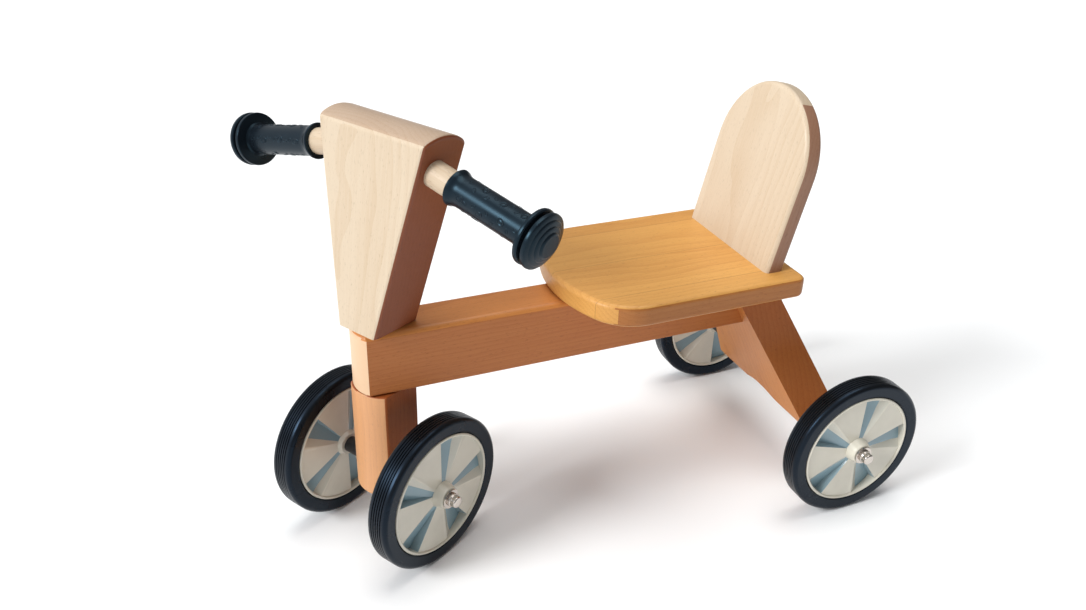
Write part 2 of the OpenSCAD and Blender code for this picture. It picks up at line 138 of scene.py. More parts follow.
def line_to(bm, start, *points):
    """Straight edges from start through the points; gives the last vertex."""
    for p in points:
        v = bm.verts.new(p)
        bm.edges.new((start, v))
        start = v
    return start


def arc(bm, start, centre, angle, steps, axis=Z_AXIS):
    """An arc of edges from start, by spinning it; gives the last vertex."""
    out = bmesh.ops.spin(bm, geom=[start], cent=centre, axis=axis, angle=angle, steps=steps, use_merge=False)
    return next(g for g in out["geom_last"] if isinstance(g, bmesh.types.BMVert))


def close(bm, first, last):
    bm.edges.new((last, first))
    bmesh.ops.remove_doubles(bm, verts=bm.verts[:], dist=0.001)
    bmesh.ops.contextual_create(bm, geom=bm.edges[:])


def extrude(bm, along):
    """Extrudes the one face of an outline into a board."""
    out = bmesh.ops.extrude_face_region(bm, geom=bm.faces[:])
    verts = [g for g in out["geom"] if isinstance(g, bmesh.types.BMVert)]
    bmesh.ops.translate(bm, verts=verts, vec=along)
    bmesh.ops.recalc_face_normals(bm, faces=bm.faces[:])


def cut(bm, point, normal):
    """Cuts away what lies on the normal's side of a plane, and closes the cut."""
    geom = bm.verts[:] + bm.edges[:] + bm.faces[:]
    out = bmesh.ops.bisect_plane(
        bm, geom=geom, plane_co=point, plane_no=normal, clear_outer=True, dist=0.0001,
    )
    edges = [g for g in out["geom_cut"] if isinstance(g, bmesh.types.BMEdge)]
    bmesh.ops.edgeloop_fill(bm, edges=edges)
    bmesh.ops.recalc_face_normals(bm, faces=bm.faces[:])


def soften(bm, radius, segments=4, angle=24, keep=lambda e: True):
    """Rounds the edges sharper than angle."""
    limit = radians(angle)
    edges = [e for e in bm.edges if len(e.link_faces) == 2 and e.calc_face_angle(0) > limit and keep(e)]
    bmesh.ops.bevel(
        bm, geom=edges, offset=radius, offset_type="OFFSET", segments=segments, profile=0.5,
        affect="EDGES", clamp_overlap=True, material=-1,
    )


def lathe(bm, profile, steps=96):
    """Spins a profile of (radius, height) about Z."""
    verts = [bm.verts.new((r, 0, z)) for r, z in profile]
    edges = [bm.edges.new(pair) for pair in zip(verts, verts[1:])]
    bmesh.ops.spin(
        bm, geom=verts + edges, cent=(0, 0, 0), axis=Z_AXIS, angle=2 * pi, steps=steps, use_merge=True,
    )
    bmesh.ops.remove_doubles(bm, verts=bm.verts[:], dist=0.001)


def place(bm, name, matrix, paint, nodes, body, slot, grain=None, tone=None, smooth=35):
    """Turns a local bmesh in millimetres into the finished object name.

    grain turns local coordinates so that X runs along the fibres; tone gives each face its depth of colour, that is
    its painted light or shade by face direction."""
    bmesh.ops.recalc_face_normals(bm, faces=bm.faces[:])
    layer = bm.verts.layers.float_vector.new("grain")
    turned = Matrix.Scale(MM, 4) @ (grain or Matrix.Identity(4))
    for v in bm.verts:
        v[layer] = turned @ v.co
    shade = bm.faces.layers.float.new("tone")
    for f in bm.faces:
        f[shade] = tone(f.normal, f.calc_center_median()) if tone else 0.0
    bm.transform(Matrix.Scale(MM, 4) @ matrix)
    mesh = bpy.data.meshes.new(name)
    bm.to_mesh(mesh)
    bm.free()
    mesh.materials.append(paint)
    mesh.shade_smooth()
    mesh.set_sharp_from_angle(angle=radians(smooth))
    obj = bpy.data.objects.new(name, mesh)
    bpy.context.scene.collection.objects.link(obj)
    even = obj.modifiers.new("even_normals", "WEIGHTED_NORMAL")
    even.keep_sharp = True
    if nodes:
        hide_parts(*nodes)
    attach(obj, body)
    return obj


# ---------- materials ----------

class Tree:
    """A material's nodes, with short ways to add and join them."""

    def __init__(self, name):
        self.material = bpy.data.materials.get(name) or bpy.data.materials.new(name)
        self.material.use_nodes = True
        self.nodes = self.material.node_tree.nodes
        self.links = self.material.node_tree.links
        self.nodes.clear()
        self.shader = self.add("ShaderNodeBsdfPrincipled")
        out = self.add("ShaderNodeOutputMaterial")
        self.links.new(self.shader.outputs[0], out.inputs["Surface"])

    def add(self, kind, inputs=None, **props):
        node = self.nodes.new(kind)
        for key, value in props.items():
            setattr(node, key, value)
        for key, value in (inputs or {}).items():
            if isinstance(value, bpy.types.NodeSocket):
                self.links.new(value, node.inputs[key])
            else:
                node.inputs[key].default_value = value
        return node

    def attribute(self, name, output="Vector"):
        return self.add("ShaderNodeAttribute", attribute_name=name).outputs[output]

    def coords(self):
        return self.add("ShaderNodeTexCoord").outputs["Object"]

    def stretched(self, vector, scale, location=(0, 0, 0)):
        return self.add("ShaderNodeMapping", {"Vector": vector, "Scale": scale, "Location": location}).outputs[0]

    def noise(self, vector, scale, detail=2.0, rough=0.5, distortion=0.0):
        inputs = {"Vector": vector, "Scale": scale, "Detail": detail, "Roughness": rough, "Distortion": distortion}
        return self.add("ShaderNodeTexNoise", inputs).outputs["Fac"]

    def math(self, operation, a, b=0.0, clamp=False):
        return self.add("ShaderNodeMath", {0: a, 1: b}, operation=operation, use_clamp=clamp).outputs[0]

    def ramp(self, fac, start, end):
        """0 at start and 1 at end, smooth between."""
        inputs = {"Value": fac, "From Min": start, "From Max": end}
        node = self.add("ShaderNodeMapRange", inputs, interpolation_type="SMOOTHSTEP")
        return node.outputs["Result"]

    def mix(self, fac, a, b, blend="MIX"):
        node = self.add("ShaderNodeMix", data_type="RGBA", blend_type=blend)
        for key, value in ((0, fac), (6, a), (7, b)):
            if isinstance(value, bpy.types.NodeSocket):
                self.links.new(value, node.inputs[key])
            else:
                node.inputs[key].default_value = value
        return node.outputs[2]

    def bump(self, height, strength, distance):
        node = self.add("ShaderNodeBump", {"Height": height, "Strength": strength, "Distance": distance})
        self.links.new(node.outputs[0], self.shader.inputs["Normal"])

    def set(self, **values):
        for key, value in values.items():
            socket = self.shader.inputs[key.replace("_", " ").title()]
            if isinstance(value, bpy.types.NodeSocket):
                self.links.new(value, socket)
            else:
                socket.default_value = value


def rgba(colour):
    return (colour[0], colour[1], colour[2], 1.0)


PAINTED_LIGHT_PALE = (0.72, 0.52, 0.34)       # painted light: pale tone mixed into faces that look towards the front light


def wood(name, light, dark, deep, ring_gap=0.0045, pith=(0.03, 0.11), stave=None, sheen=0.34):
    """Lacquered beech: growth rings about an offset pith, ray flecks, fibres, and glued staves if stave is a width.

    Colours go from light to dark with the rings, and towards deep on faces with a tone: a positive tone is painted
    shade, a negative tone is painted light."""
    t = Tree(name)
    p = t.attribute("grain")
    parts = t.add("ShaderNodeSeparateXYZ", {0: p})
    if stave:
        row = t.math("FLOOR", t.math("DIVIDE", parts.outputs["Y"], stave))
        rank = t.add("ShaderNodeTexWhiteNoise", {"W": row}, noise_dimensions="1D")
        spread = {0: rank.outputs["Color"], 1: (3.0, 0.09, 0.07)}
        jump = t.add("ShaderNodeVectorMath", spread, operation="MULTIPLY").outputs[0]
        p = t.add("ShaderNodeVectorMath", {0: p, 1: jump}, operation="ADD").outputs[0]
        within = t.math("FRACT", t.math("DIVIDE", parts.outputs["Y"], stave))
        seam = t.math("ABSOLUTE", t.math("SUBTRACT", within, 0.5))
        seam = t.ramp(seam, 0.5 - 0.00035 / stave, 0.5 - 0.0001 / stave)
    sway = t.noise(t.stretched(p, (5, 14, 14)), 1.0, 2.0)
    wander = t.math("MULTIPLY", t.math("SUBTRACT", sway, 0.5), 0.016)
    aside = t.add("ShaderNodeCombineXYZ", {"Y": wander, "Z": wander}).outputs[0]
    bent = t.add("ShaderNodeVectorMath", {0: p, 1: aside}, operation="ADD").outputs[0]
    moved = t.stretched(bent, (1, 1, 1), (0, pith[0], pith[1]))
    wave = t.add(
        "ShaderNodeTexWave", {"Vector": moved, "Scale": 2 * pi / 20 / ring_gap, "Distortion": 0.0},
        wave_type="RINGS", rings_direction="X", wave_profile="SAW",
    ).outputs["Fac"]
    ring = t.math("POWER", wave, 2.2)
    fibre = t.noise(t.stretched(p, (26, 900, 900)), 1.0, 3.0, 0.6)
    fleck = t.ramp(t.noise(t.stretched(p, (210, 1500, 1500)), 1.0, 1.0), 0.63, 0.74)
    broad = t.noise(t.stretched(p, (3, 22, 22)), 1.0, 1.0)
    depth = t.math("MULTIPLY", ring, 0.34)
    depth = t.math("ADD", depth, t.math("MULTIPLY", t.math("SUBTRACT", fibre, 0.42), 0.9))
    depth = t.math("ADD", depth, t.math("MULTIPLY", t.math("SUBTRACT", broad, 0.45), 0.9), clamp=True)
    colour = t.mix(depth, rgba(light), rgba(dark))
    colour = t.mix(t.math("MULTIPLY", fleck, 0.42), colour, rgba([c * 0.5 for c in dark]))
    if stave:
        tint = t.mix(0.16, (1, 1, 1, 1), t.mix(rank.outputs["Value"], (0.55, 0.42, 0.3, 1), (1, 1, 1, 1)))
        colour = t.mix(1.0, colour, tint, "MULTIPLY")
        colour = t.mix(t.math("MULTIPLY", seam, 0.55), colour, rgba([c * 0.35 for c in dark]))
    tone = t.attribute("tone", "Fac")
    # painted shade: a positive face tone multiplies the colour by deep, darkening side faces as their shading would
    colour = t.mix(t.math("MAXIMUM", tone, 0.0), colour, t.mix(1.0, colour, rgba(deep), "MULTIPLY"))
    # painted light: a negative face tone mixes the colour towards a pale tone, lightening faces turned to the front
    # light
    colour = t.mix(t.math("MAXIMUM", t.math("MULTIPLY", tone, -1.0), 0.0), colour, rgba(PAINTED_LIGHT_PALE))
    rough = t.math("ADD", sheen, t.math("MULTIPLY", fibre, 0.16))
    t.set(base_color=colour, roughness=rough, coat_weight=0.1, coat_roughness=0.25)
    t.shader.inputs["Specular IOR Level"].default_value = 0.3
    t.bump(t.math("SUBTRACT", fibre, t.math("MULTIPLY", fleck, 0.6)), 0.22, 0.00025)
    return t.material


def rubber(name, colour, gloss, tint, grain_scale=900.0, bump=0.12):
    t = Tree(name)
    p = t.coords()
    haze = t.noise(p, 40.0, 3.0)
    fine = t.noise(p, grain_scale, 2.0)
    shade = t.mix(haze, rgba([c * 0.7 for c in colour]), rgba([c * 1.5 for c in colour]))
    rough = t.math("ADD", gloss, t.math("MULTIPLY", haze, 0.18))
    # painted reflection colour: the specular tint turns the rubber's highlights blue, standing in for a cool window
    # light
    t.set(base_color=shade, roughness=rough, specular_tint=rgba(tint))
    t.shader.inputs["Specular IOR Level"].default_value = 0.26
    t.bump(fine, bump, 0.0002)
    return t.material


def plastic(name, colour, rough, coat, bump=0.04, painted_reflection=None):
    t = Tree(name)
    p = t.coords()
    cloud = t.noise(p, 30.0, 3.0)
    fine = t.noise(p, 700.0, 2.0)
    shade = t.mix(t.ramp(cloud, 0.35, 0.75), rgba(colour), rgba([c * 0.9 for c in colour]))
    # painted reflection: faces with a tone are mixed towards a cool colour that stands in for reflected light
    if painted_reflection:
        shade = t.mix(t.attribute("tone", "Fac"), shade, rgba(painted_reflection))
    roughness = t.math("ADD", rough, t.math("MULTIPLY", fine, 0.06))
    t.set(base_color=shade, roughness=roughness, coat_weight=coat, coat_roughness=0.1)
    t.bump(fine, bump, 0.0002)
    return t.material


def metal(name, colour, rough):
    t = Tree(name)
    p = t.coords()
    cloud = t.noise(p, 120.0, 3.0)
    scratch = t.noise(t.stretched(p, (300, 4000, 300)), 1.0, 2.0)
    shade = t.mix(cloud, rgba(colour), rgba([c * 0.82 for c in colour]))
    t.set(base_color=shade, metallic=1.0, roughness=t.math("ADD", rough, t.math("MULTIPLY", scratch, 0.14)))
    t.bump(scratch, 0.05, 0.0001)
    return t.material


# ---------- settings ----------

def length(name, text, value):
    return bpy.props.FloatProperty(
        name=name, description=text, default=value * MM, min=0.0, unit="LENGTH", subtype="DISTANCE",
    )


def colour(name, text, value):
    return bpy.props.FloatVectorProperty(
        name=name, description=text, default=value, size=3, min=0.0, max=1.0, subtype="COLOR",
    )


class RideOnSizes(bpy.types.PropertyGroup):
    board_round: length("Board rounding", "Rounding of the seat's and backrest's edges", 4.5)
    beam_round: length("Beam rounding", "Rounding of the beam's long upper edges", 6.5)
    head_round: length("Head rounding", "Rounding of the steering head's edges", 5.0)
    crisp_round: length("Small rounding", "Rounding of the crisp wooden edges", 1.6)
    groove_depth: length("Tread depth", "Depth of the grooves round a tyre", 1.0)
    pocket_depth: length("Pocket depth", "Depth of the pockets in a wheel disc", 8.0)
    ring_gap: length("Growth ring gap", "Distance between growth rings in the wood", 4.2)


class RideOnColours(bpy.types.PropertyGroup):
    pale: colour("Pale beech", "Light tone of the head and the backrest", (0.60, 0.485, 0.355))
    pale_dark: colour("Pale beech rings", "Ring tone of the head and the backrest", (0.51, 0.37, 0.235))
    gold: colour("Golden beech", "Light tone of the seat", (0.70, 0.36, 0.095))
    gold_dark: colour("Golden beech rings", "Ring tone of the seat", (0.54, 0.23, 0.05))
    red: colour("Red beech", "Light tone of the beam and the leg", (0.62, 0.24, 0.062))
    red_dark: colour("Red beech rings", "Ring tone of the beam and the leg", (0.48, 0.155, 0.035))
    # painted shade: the wood's colour is multiplied by this on side faces, standing in for their shading
    deep: colour("Side tint", "What the wood's colour is multiplied by on its side faces", (0.34, 0.08, 0.015))
    disc: colour("Wheel disc", "Moulded plastic of the wheel discs", (0.66, 0.62, 0.52))
    # painted reflection: darker cool blue mixed into the pocket floors, standing in for the cool light they reflect
    pocket: colour("Wheel pockets", "Cool shade of the pockets in the wheel discs", (0.22, 0.33, 0.38))
    tyre: colour("Tyre", "Rubber of the tyres", (0.006, 0.0062, 0.007))
    grip: colour("Grip", "Rubber of the grips", (0.006, 0.009, 0.013))
    floor: colour("Floor", "Floor below the toy", (0.95, 0.95, 0.95))


def sizes():
    return bpy.context.scene.ride_on_sizes


def colours():
    return bpy.context.scene.ride_on_colours


def pale_wood():
    c, s = colours(), sizes()
    return wood("pale_beech", c.pale, c.pale_dark, c.deep, s.ring_gap, (0.02, 0.12))


def gold_wood():
    c, s = colours(), sizes()
    return wood("golden_beech", c.gold, c.gold_dark, c.deep, s.ring_gap, (0.03, 0.10), stave=0.0605)


def red_wood():
    c, s = colours(), sizes()
    return wood("red_beech", c.red, c.red_dark, c.deep, s.ring_gap, (0.05, 0.09))


def zinc():
    return metal("zinc_plate", (0.66, 0.60, 0.55), 0.16)


def nylon():
    return plastic("black_nylon", (0.02, 0.02, 0.022), 0.4, 0.0)


GRAIN_UP = turn(pi / 2, "Y")        # fibres along local Z


# ---------- wooden pieces ----------

def nose_outline(bm, back, half, front, sag, z):
    """Plan of a beam with a rounded nose, flat at height z."""
    radius = (half * half + sag * sag) / (2 * sag)
    angle = 2 * atan2(half, radius - sag)
    first = bm.verts.new((back, -half, z))
    end = line_to(bm, first, (front, -half, z))
    end = arc(bm, end, (front + sag - radius, 0, z), angle, 16)
    last = line_to(bm, end, (back, half, z))
    close(bm, first, last)


class RIDEON_OT_beam(bpy.types.Operator):
    """The beam with its rounded nose, cut to meet the leaning rear leg"""

    bl_idname = "rideon.beam"
    bl_label = "Beam"

    def execute(self, context):
        s = sizes()
        half = high("beam", 1)
        tip = high("beam", 0) - STEER_X
        sag = 8.5
        bm = bmesh.new()
        nose_outline(bm, low("beam", 0) - STEER_X - 40, half, tip - sag, sag, BEAM_Z)
        extrude(bm, (0, 0, BEAM_TOP - BEAM_Z))
        lean = radians(26.6)
        foot = Vector((REAR_X - STEER_X, 0, AXLE_Z)) + 19 * Vector((cos(lean), 0, -sin(lean)))
        cut(bm, foot, (-cos(lean), 0, sin(lean)))
        top = lambda e: all(v.co.z > BEAM_TOP - 0.1 for v in e.verts) and max(v.co.x for v in e.verts) > -310
        soften(bm, s.beam_round / MM, 5, 24, top)
        low_edges = lambda e: all(v.co.z < BEAM_Z + 0.1 for v in e.verts)
        soften(bm, s.crisp_round / MM, 3, 40, low_edges)
        # painted light and shade: the nose is painted paler, the sides and underside darker, the top slightly darker
        place(bm, "wood_beam", shift(STEER_X, 0, 0), red_wood(), ["beam"], "frame", "wood_oiled",
              tone=lambda n, c: -0.8 if n.x > 0.75 else 0.38 * (n.z < 0.4) + 0.04 * (n.z >= 0.4))
        return {"FINISHED"}


class RIDEON_OT_axle_block(bpy.types.Operator):
    """The upright block that carries the front axle"""

    bl_idname = "rideon.axle_block"
    bl_label = "Front axle block"

    def execute(self, context):
        s = sizes()
        bm = bmesh.new()
        bottom = low("front_axle_block", 2)
        nose_outline(bm, -22, high("beam", 1), 15, 8.5, bottom)
        extrude(bm, (0, 0, high("front_axle_block", 2) - bottom))
        soften(bm, s.crisp_round / MM, 3, 24)
        # painted light and shade: the front faces are painted paler, the other faces darker
        place(bm, "wood_axle_block", STEERED, red_wood(), ["front_axle_block"], "steering", "wood_dark",
              grain=GRAIN_UP, tone=lambda n, c: -0.3 if n.x > 0.7 else 0.7)
        return {"FINISHED"}


class RIDEON_OT_rear_leg(bpy.types.Operator):
    """The leaning board that carries the rear axle"""

    bl_idname = "rideon.rear_leg"
    bl_label = "Rear leg"

    def execute(self, context):
        lean = radians(26.6)
        half_t = 19.0
        rise = BEAM_TOP - AXLE_Z
        leg_len = rise / cos(lean)
        top_half = 24.5
        axle_half = top_half + rise * tan(radians(20))
        slope = (axle_half - top_half) / leg_len
        foot = axle_half + half_t * slope
        q = sqrt(1 + slope * slope)
        corner_r = 14.0
        corner = foot - corner_r * (slope + q)
        # side outline with a rounded foot, extruded across the toy
        bm = bmesh.new()
        y = -120
        first = bm.verts.new((half_t, y, 0))
        end = arc(bm, first, (0, y, 0), pi, 28, Y_AXIS)
        last = line_to(bm, end, (-half_t, y, leg_len + 30), (half_t, y, leg_len + 30))
        close(bm, first, last)
        extrude(bm, (0, 240, 0))
        # slanted sides, then a fan of cuts that rounds each lower corner
        for side in (-1, 1):
            steps = 7
            full = pi / 2 + atan2(slope, 1)
            for i in range(steps + 1):
                a = -pi / 2 + full * i / steps
                normal = Vector((0, side * cos(a), sin(a)))
                centre = Vector((0, side * corner, -half_t + corner_r))
                if i:
                    cut(bm, centre + normal * corner_r, normal)
        cut(bm, (0, 0, leg_len), Vector((sin(lean), 0, cos(lean))))
        # shallow arch, cut level through the leaning foot
        arch_r, arch_top = 60.0, -5.8
        tool = bmesh.new()
        bmesh.ops.create_cone(
            tool, cap_ends=True, segments=160, radius1=arch_r, radius2=arch_r, depth=160,
            matrix=turn(-lean, "Y") @ shift(0, 0, arch_top - arch_r) @ turn(pi / 2, "Y"),
        )
        bm = subtract(bm, tool)
        soften(bm, 5.0, 5, 32)
        matrix = shift(REAR_X, 0, AXLE_Z) @ turn(lean, "Y")
        # painted shade: all faces except the front are painted darker
        place(bm, "wood_rear_leg", matrix, red_wood(), ["rear_leg"], "frame", "wood_dark", grain=GRAIN_UP,
              tone=lambda n, c: 0.0 if n.x > 0.6 else 0.5)
        return {"FINISHED"}


def subtract(bm, tool):
    """bm less tool, by a boolean whose result is read back."""
    made = []
    for name, part in (("cut_target", bm), ("cut_tool", tool)):
        mesh = bpy.data.meshes.new(name)
        part.to_mesh(mesh)
        part.free()
        obj = bpy.data.objects.new(name, mesh)
        bpy.context.scene.collection.objects.link(obj)
        made.append(obj)
    target, other = made
    step = target.modifiers.new("cut", "BOOLEAN")
    step.object = other
    step.operation = "DIFFERENCE"
    step.solver = "EXACT"
    bpy.context.view_layer.update()
    out = bmesh.new()
    out.from_object(target, bpy.context.evaluated_depsgraph_get())
    for obj in made:
        mesh = obj.data
        bpy.data.objects.remove(obj)
        bpy.data.meshes.remove(mesh)
    return out


class RIDEON_OT_seat(bpy.types.Operator):
    """The seat board with its arched front"""

    bl_idname = "rideon.seat"
    bl_label = "Seat"

    def execute(self, context):
        half = high("seat_board", 1)
        front, rear = high("seat_board", 0), low("seat_board", 0)
        r, c = 132.0, 45.0
        side_x = sqrt((r - c) ** 2 - (half - c) ** 2) - r
        swing = atan2(half - c, side_x + r)
        long = front - rear
        k = 8.0
        bm = bmesh.new()
        first = bm.verts.new((-long + k, -half, 0))
        end = line_to(bm, first, (side_x, -half, 0))
        end = arc(bm, end, (side_x, -half + c, 0), pi / 2 - swing, 14)
        end = arc(bm, end, (-r, 0, 0), 2 * swing, 32)
        end = arc(bm, end, (side_x, half - c, 0), pi / 2 - swing, 14)
        end = line_to(bm, end, (-long + k, half, 0))
        end = arc(bm, end, (-long + k, half - k, 0), pi / 2, 6)
        end = line_to(bm, end, (-long, -half + k, 0))
        last = arc(bm, end, (-long + k, -half + k, 0), radians(75), 5)
        close(bm, first, last)
        extrude(bm, (0, 0, SEAT_TOP - BEAM_TOP))
        soften(bm, sizes().board_round / MM, 5, 40)
        # painted shade: the seat's side and rear edge faces are painted darker
        place(bm, "wood_seat", shift(front, 0, BEAM_TOP), gold_wood(), ["seat_board"], "frame", "wood_oiled",
              tone=lambda n, c: 0.6 if abs(n.z) < 0.5 and n.x < 0.6 else 0.0)
        return {"FINISHED"}


class RIDEON_OT_backrest(bpy.types.Operator):
    """The backrest board with its round top"""

    bl_idname = "rideon.backrest"
    bl_label = "Backrest"

    def execute(self, context):
        lean = radians(13.3)
        r = high("backrest", 1)
        tall = 156.0
        thick = 18.0
        bm = bmesh.new()
        first = bm.verts.new((0, -r, -12))
        last = bm.verts.new((0, r, -12))
        end = line_to(bm, first, (0, -r, tall - r))
        end = arc(bm, end, (0, 0, tall - r), pi, 48, -X_AXIS)
        bm.edges.new((end, last))
        close(bm, first, last)
        extrude(bm, (-thick, 0, 0))
        soften(bm, sizes().board_round / MM, 5, 40)
        base = Vector((0, 0, 0))
        cut(bm, base, Vector((-sin(lean), 0, -cos(lean))))
        matrix = shift(low("seat_board", 0) + 33, 0, SEAT_TOP) @ turn(-lean, "Y")
        # painted shade: the backrest's side edge faces are painted darker
        place(bm, "wood_backrest", matrix, pale_wood(), ["backrest"], "frame", "wood_beech", grain=GRAIN_UP,
              tone=lambda n, c: 0.7 if n.x < 0.3 and abs(n.y) > 0.5 else 0.0)
        return {"FINISHED"}


HEAD_LEAN = radians(9.3)
HEAD_TALL = 171.0
HEAD_FOOT, HEAD_TOP = 22.0, 58.5
HANDLE_Z = 140.5
HEAD_TAPER = atan2(HEAD_TOP - HEAD_FOOT, HEAD_TALL)
LEANING = STEERED @ shift(0, 0, HEAD_Z) @ turn(-HEAD_LEAN, "Y")


def handle(side):
    """Frame of a handle: local Z runs out from the head's side."""
    reach = HEAD_FOOT + HANDLE_Z * tan(HEAD_TAPER)
    return LEANING @ shift(5, side * reach, HANDLE_Z) @ turn(-side * (pi / 2 + HEAD_TAPER), "X")


class RIDEON_OT_head(bpy.types.Operator):
    """The tapered steering head with its domed top"""

    bl_idname = "rideon.head"
    bl_label = "Steering head"

    def execute(self, context):
        t, r = 24.0, 43.0
        edge = HEAD_TALL - r + sqrt(r * r - t * t)
        swing = 2 * atan2(t, edge - (HEAD_TALL - r))
        bm = bmesh.new()
        y = -80
        first = bm.verts.new((t, y, -12))
        end = line_to(bm, first, (t, y, edge))
        end = arc(bm, end, (0, y, HEAD_TALL - r), -swing, 14, Y_AXIS)
        last = line_to(bm, end, (-t, y, -12))
        close(bm, first, last)
        extrude(bm, (0, 160, 0))
        for side in (-1, 1):
            cut(bm, (0, side * HEAD_FOOT, 0), (0, side * cos(HEAD_TAPER), -sin(HEAD_TAPER)))
        cut(bm, (0, 0, 0), (-sin(HEAD_LEAN), 0, -cos(HEAD_LEAN)))
        soften(bm, sizes().head_round / MM, 5, 20, lambda e: max(v.co.z for v in e.verts) > 12)
        soften(bm, 1.2, 2, 50)
        # painted shade: the head's sides are painted much darker and its top slightly darker
        place(bm, "wood_head", LEANING, pale_wood(), ["head_block"], "steering", "wood_beech", grain=GRAIN_UP,
              tone=lambda n, c: 0.95 if abs(n.y) > 0.6 else 0.3 if n.z > 0.5 else 0.0)
        return {"FINISHED"}


class RIDEON_OT_dowels(bpy.types.Operator):
    """The two wooden handle dowels"""

    bl_idname = "rideon.dowels"
    bl_label = "Handle dowels"

    def execute(self, context):
        for name, side in SIDES.items():
            bm = bmesh.new()
            lathe(bm, [(0, -26), (11, -26), (11, 30), (11, 107), (10, 108), (0, 108)], 64)
            place(bm, "wood_dowel_" + name, handle(side), pale_wood(), ["handle_dowel_" + name], "steering",
                  "wood_beech", grain=GRAIN_UP)
        return {"FINISHED"}


# ---------- rubber grips ----------

def oval_ring(bm, radius, around, along, across_size, along_size, tilt, thick):
    """A raised oval ring laid on a tube of that radius."""
    part = bmesh.new()
    circle = bmesh.ops.create_circle(part, segments=8, radius=thick, matrix=shift(1, 0, 0) @ turn(pi / 2, "X"))
    edges = list({e for v in circle["verts"] for e in v.link_edges})
    bmesh.ops.spin(
        part, geom=circle["verts"] + edges, cent=(0, 0, 0), axis=Z_AXIS, angle=2 * pi, steps=26, use_merge=True,
    )
    lay(bm, part, radius, around, along, across_size, along_size, tilt, thick)


def pebble(bm, radius, around, along, across_size, along_size, tilt, tall):
    """A low round pebble laid on a tube of that radius."""
    part = bmesh.new()
    bmesh.ops.create_uvsphere(part, u_segments=20, v_segments=10, radius=1.0)
    for v in part.verts:
        v.co.z *= tall
    lay(bm, part, radius, around, along, across_size, along_size, tilt, tall)


def lay(bm, part, radius, around, along, across_size, along_size, tilt, tall):
    """Wraps a unit shape round the tube and adds it to bm."""
    size = Matrix.Diagonal((across_size, along_size, 1, 1))
    for v in part.verts:
        flat = v.co.copy()
        edge = hypot(flat.x, flat.y) or 1.0
        grow = (edge - 1) if edge > 0.6 and tall < 0.6 else 0.0
        ring = Vector((flat.x / edge, flat.y / edge, 0)) if grow else flat
        p = turn(tilt, "Z") @ (size @ ring)
        if grow:
            p += turn(tilt, "Z") @ (Vector((flat.x, flat.y, 0)) / edge * grow)
        a = around + p.x / radius
        h = radius + flat.z - 0.12
        v.co = Vector((h * cos(a), h * sin(a), along + p.y))
    mesh = bpy.data.meshes.new("laid")
    part.to_mesh(mesh)
    part.free()
    bm.from_mesh(mesh)
    bpy.data.meshes.remove(mesh)


class RIDEON_OT_grips(bpy.types.Operator):
    """The rubber grips: flared collar, embossed tube, two guard discs and a stepped end"""

    bl_idname = "rideon.grips"
    bl_label = "Grips"

    def execute(self, context):
        c = colours()
        paint = rubber("grip_rubber_look", c.grip, 0.22, (0.4, 0.75, 1.0), 1200.0, 0.08)
        tube, start, end = GRIP_TUBE_RADIUS, GRIP_START, GRIP_END
        collar = [(11.05, 0), (14.3, 0), (14.9, 0.7), (14.6, 2.4), (13.8, 4), (13.2, 5.6), (12.8, 7.4), (tube, 10)]
        guard = [
            (tube, 20.5), (13.0, 19.2), (14.4, 18), (21.2, 17.5), (22.2, 16.9), (22.5, 15.8), (22.4, 14.4),
            (21.6, 13.4), (16.4, 12.8), (16.0, 11.8), (16.6, 10.7), (21.4, 10.3), (22.3, 9.6), (22.5, 8.4),
            (22.2, 7), (20.8, 5.8), (18.6, 5.1), (18.2, 4.6), (17.0, 3.7), (14.6, 3.2), (14.2, 2.7),
            (13.0, 1.9), (10.8, 1.5), (10.4, 1.0),
            (9.4, 0.2), (8.6, 0), (0, 0),
        ]
        profile = [(r, start + z) for r, z in collar] + [(r, end - z) for r, z in guard]
        for name, side in SIDES.items():
            bm = bmesh.new()
            lathe(bm, profile, 80)
            rng = random.Random(11 + side)
            for row in range(5):
                for col in range(9):
                    around = 2 * pi * row / 5 + rng.uniform(-0.16, 0.16) + 0.2 * (col % 2)
                    along = 37.5 + 6.6 * col + rng.uniform(-1.0, 1.0)
                    tilt = rng.uniform(-1.2, 1.2)
                    if (row + col) % 3 == 0:
                        oval_ring(bm, tube, around, along, 2.3, 3.1, tilt, 0.42)
                        pebble(bm, tube, around, along, 1.6, 2.3, tilt, 0.45)
                    else:
                        oval_ring(bm, tube, around, along, 1.1, 1.9, tilt, 0.34)
            place(bm, "grip_look_" + name, handle(side), paint, ["grip_" + name], "steering", "grip_rubber", smooth=28)
        return {"FINISHED"}


# ---------- wheels ----------

WHEELS = ("front_left", "front_right", "rear_left", "rear_right")


def half_track(place_name):
    return FRONT_HALF_TRACK if place_name.startswith("front") else REAR_HALF_TRACK


def at_wheel(place_name):
    return axle_end(place_name) @ shift(0, 0, half_track(place_name))


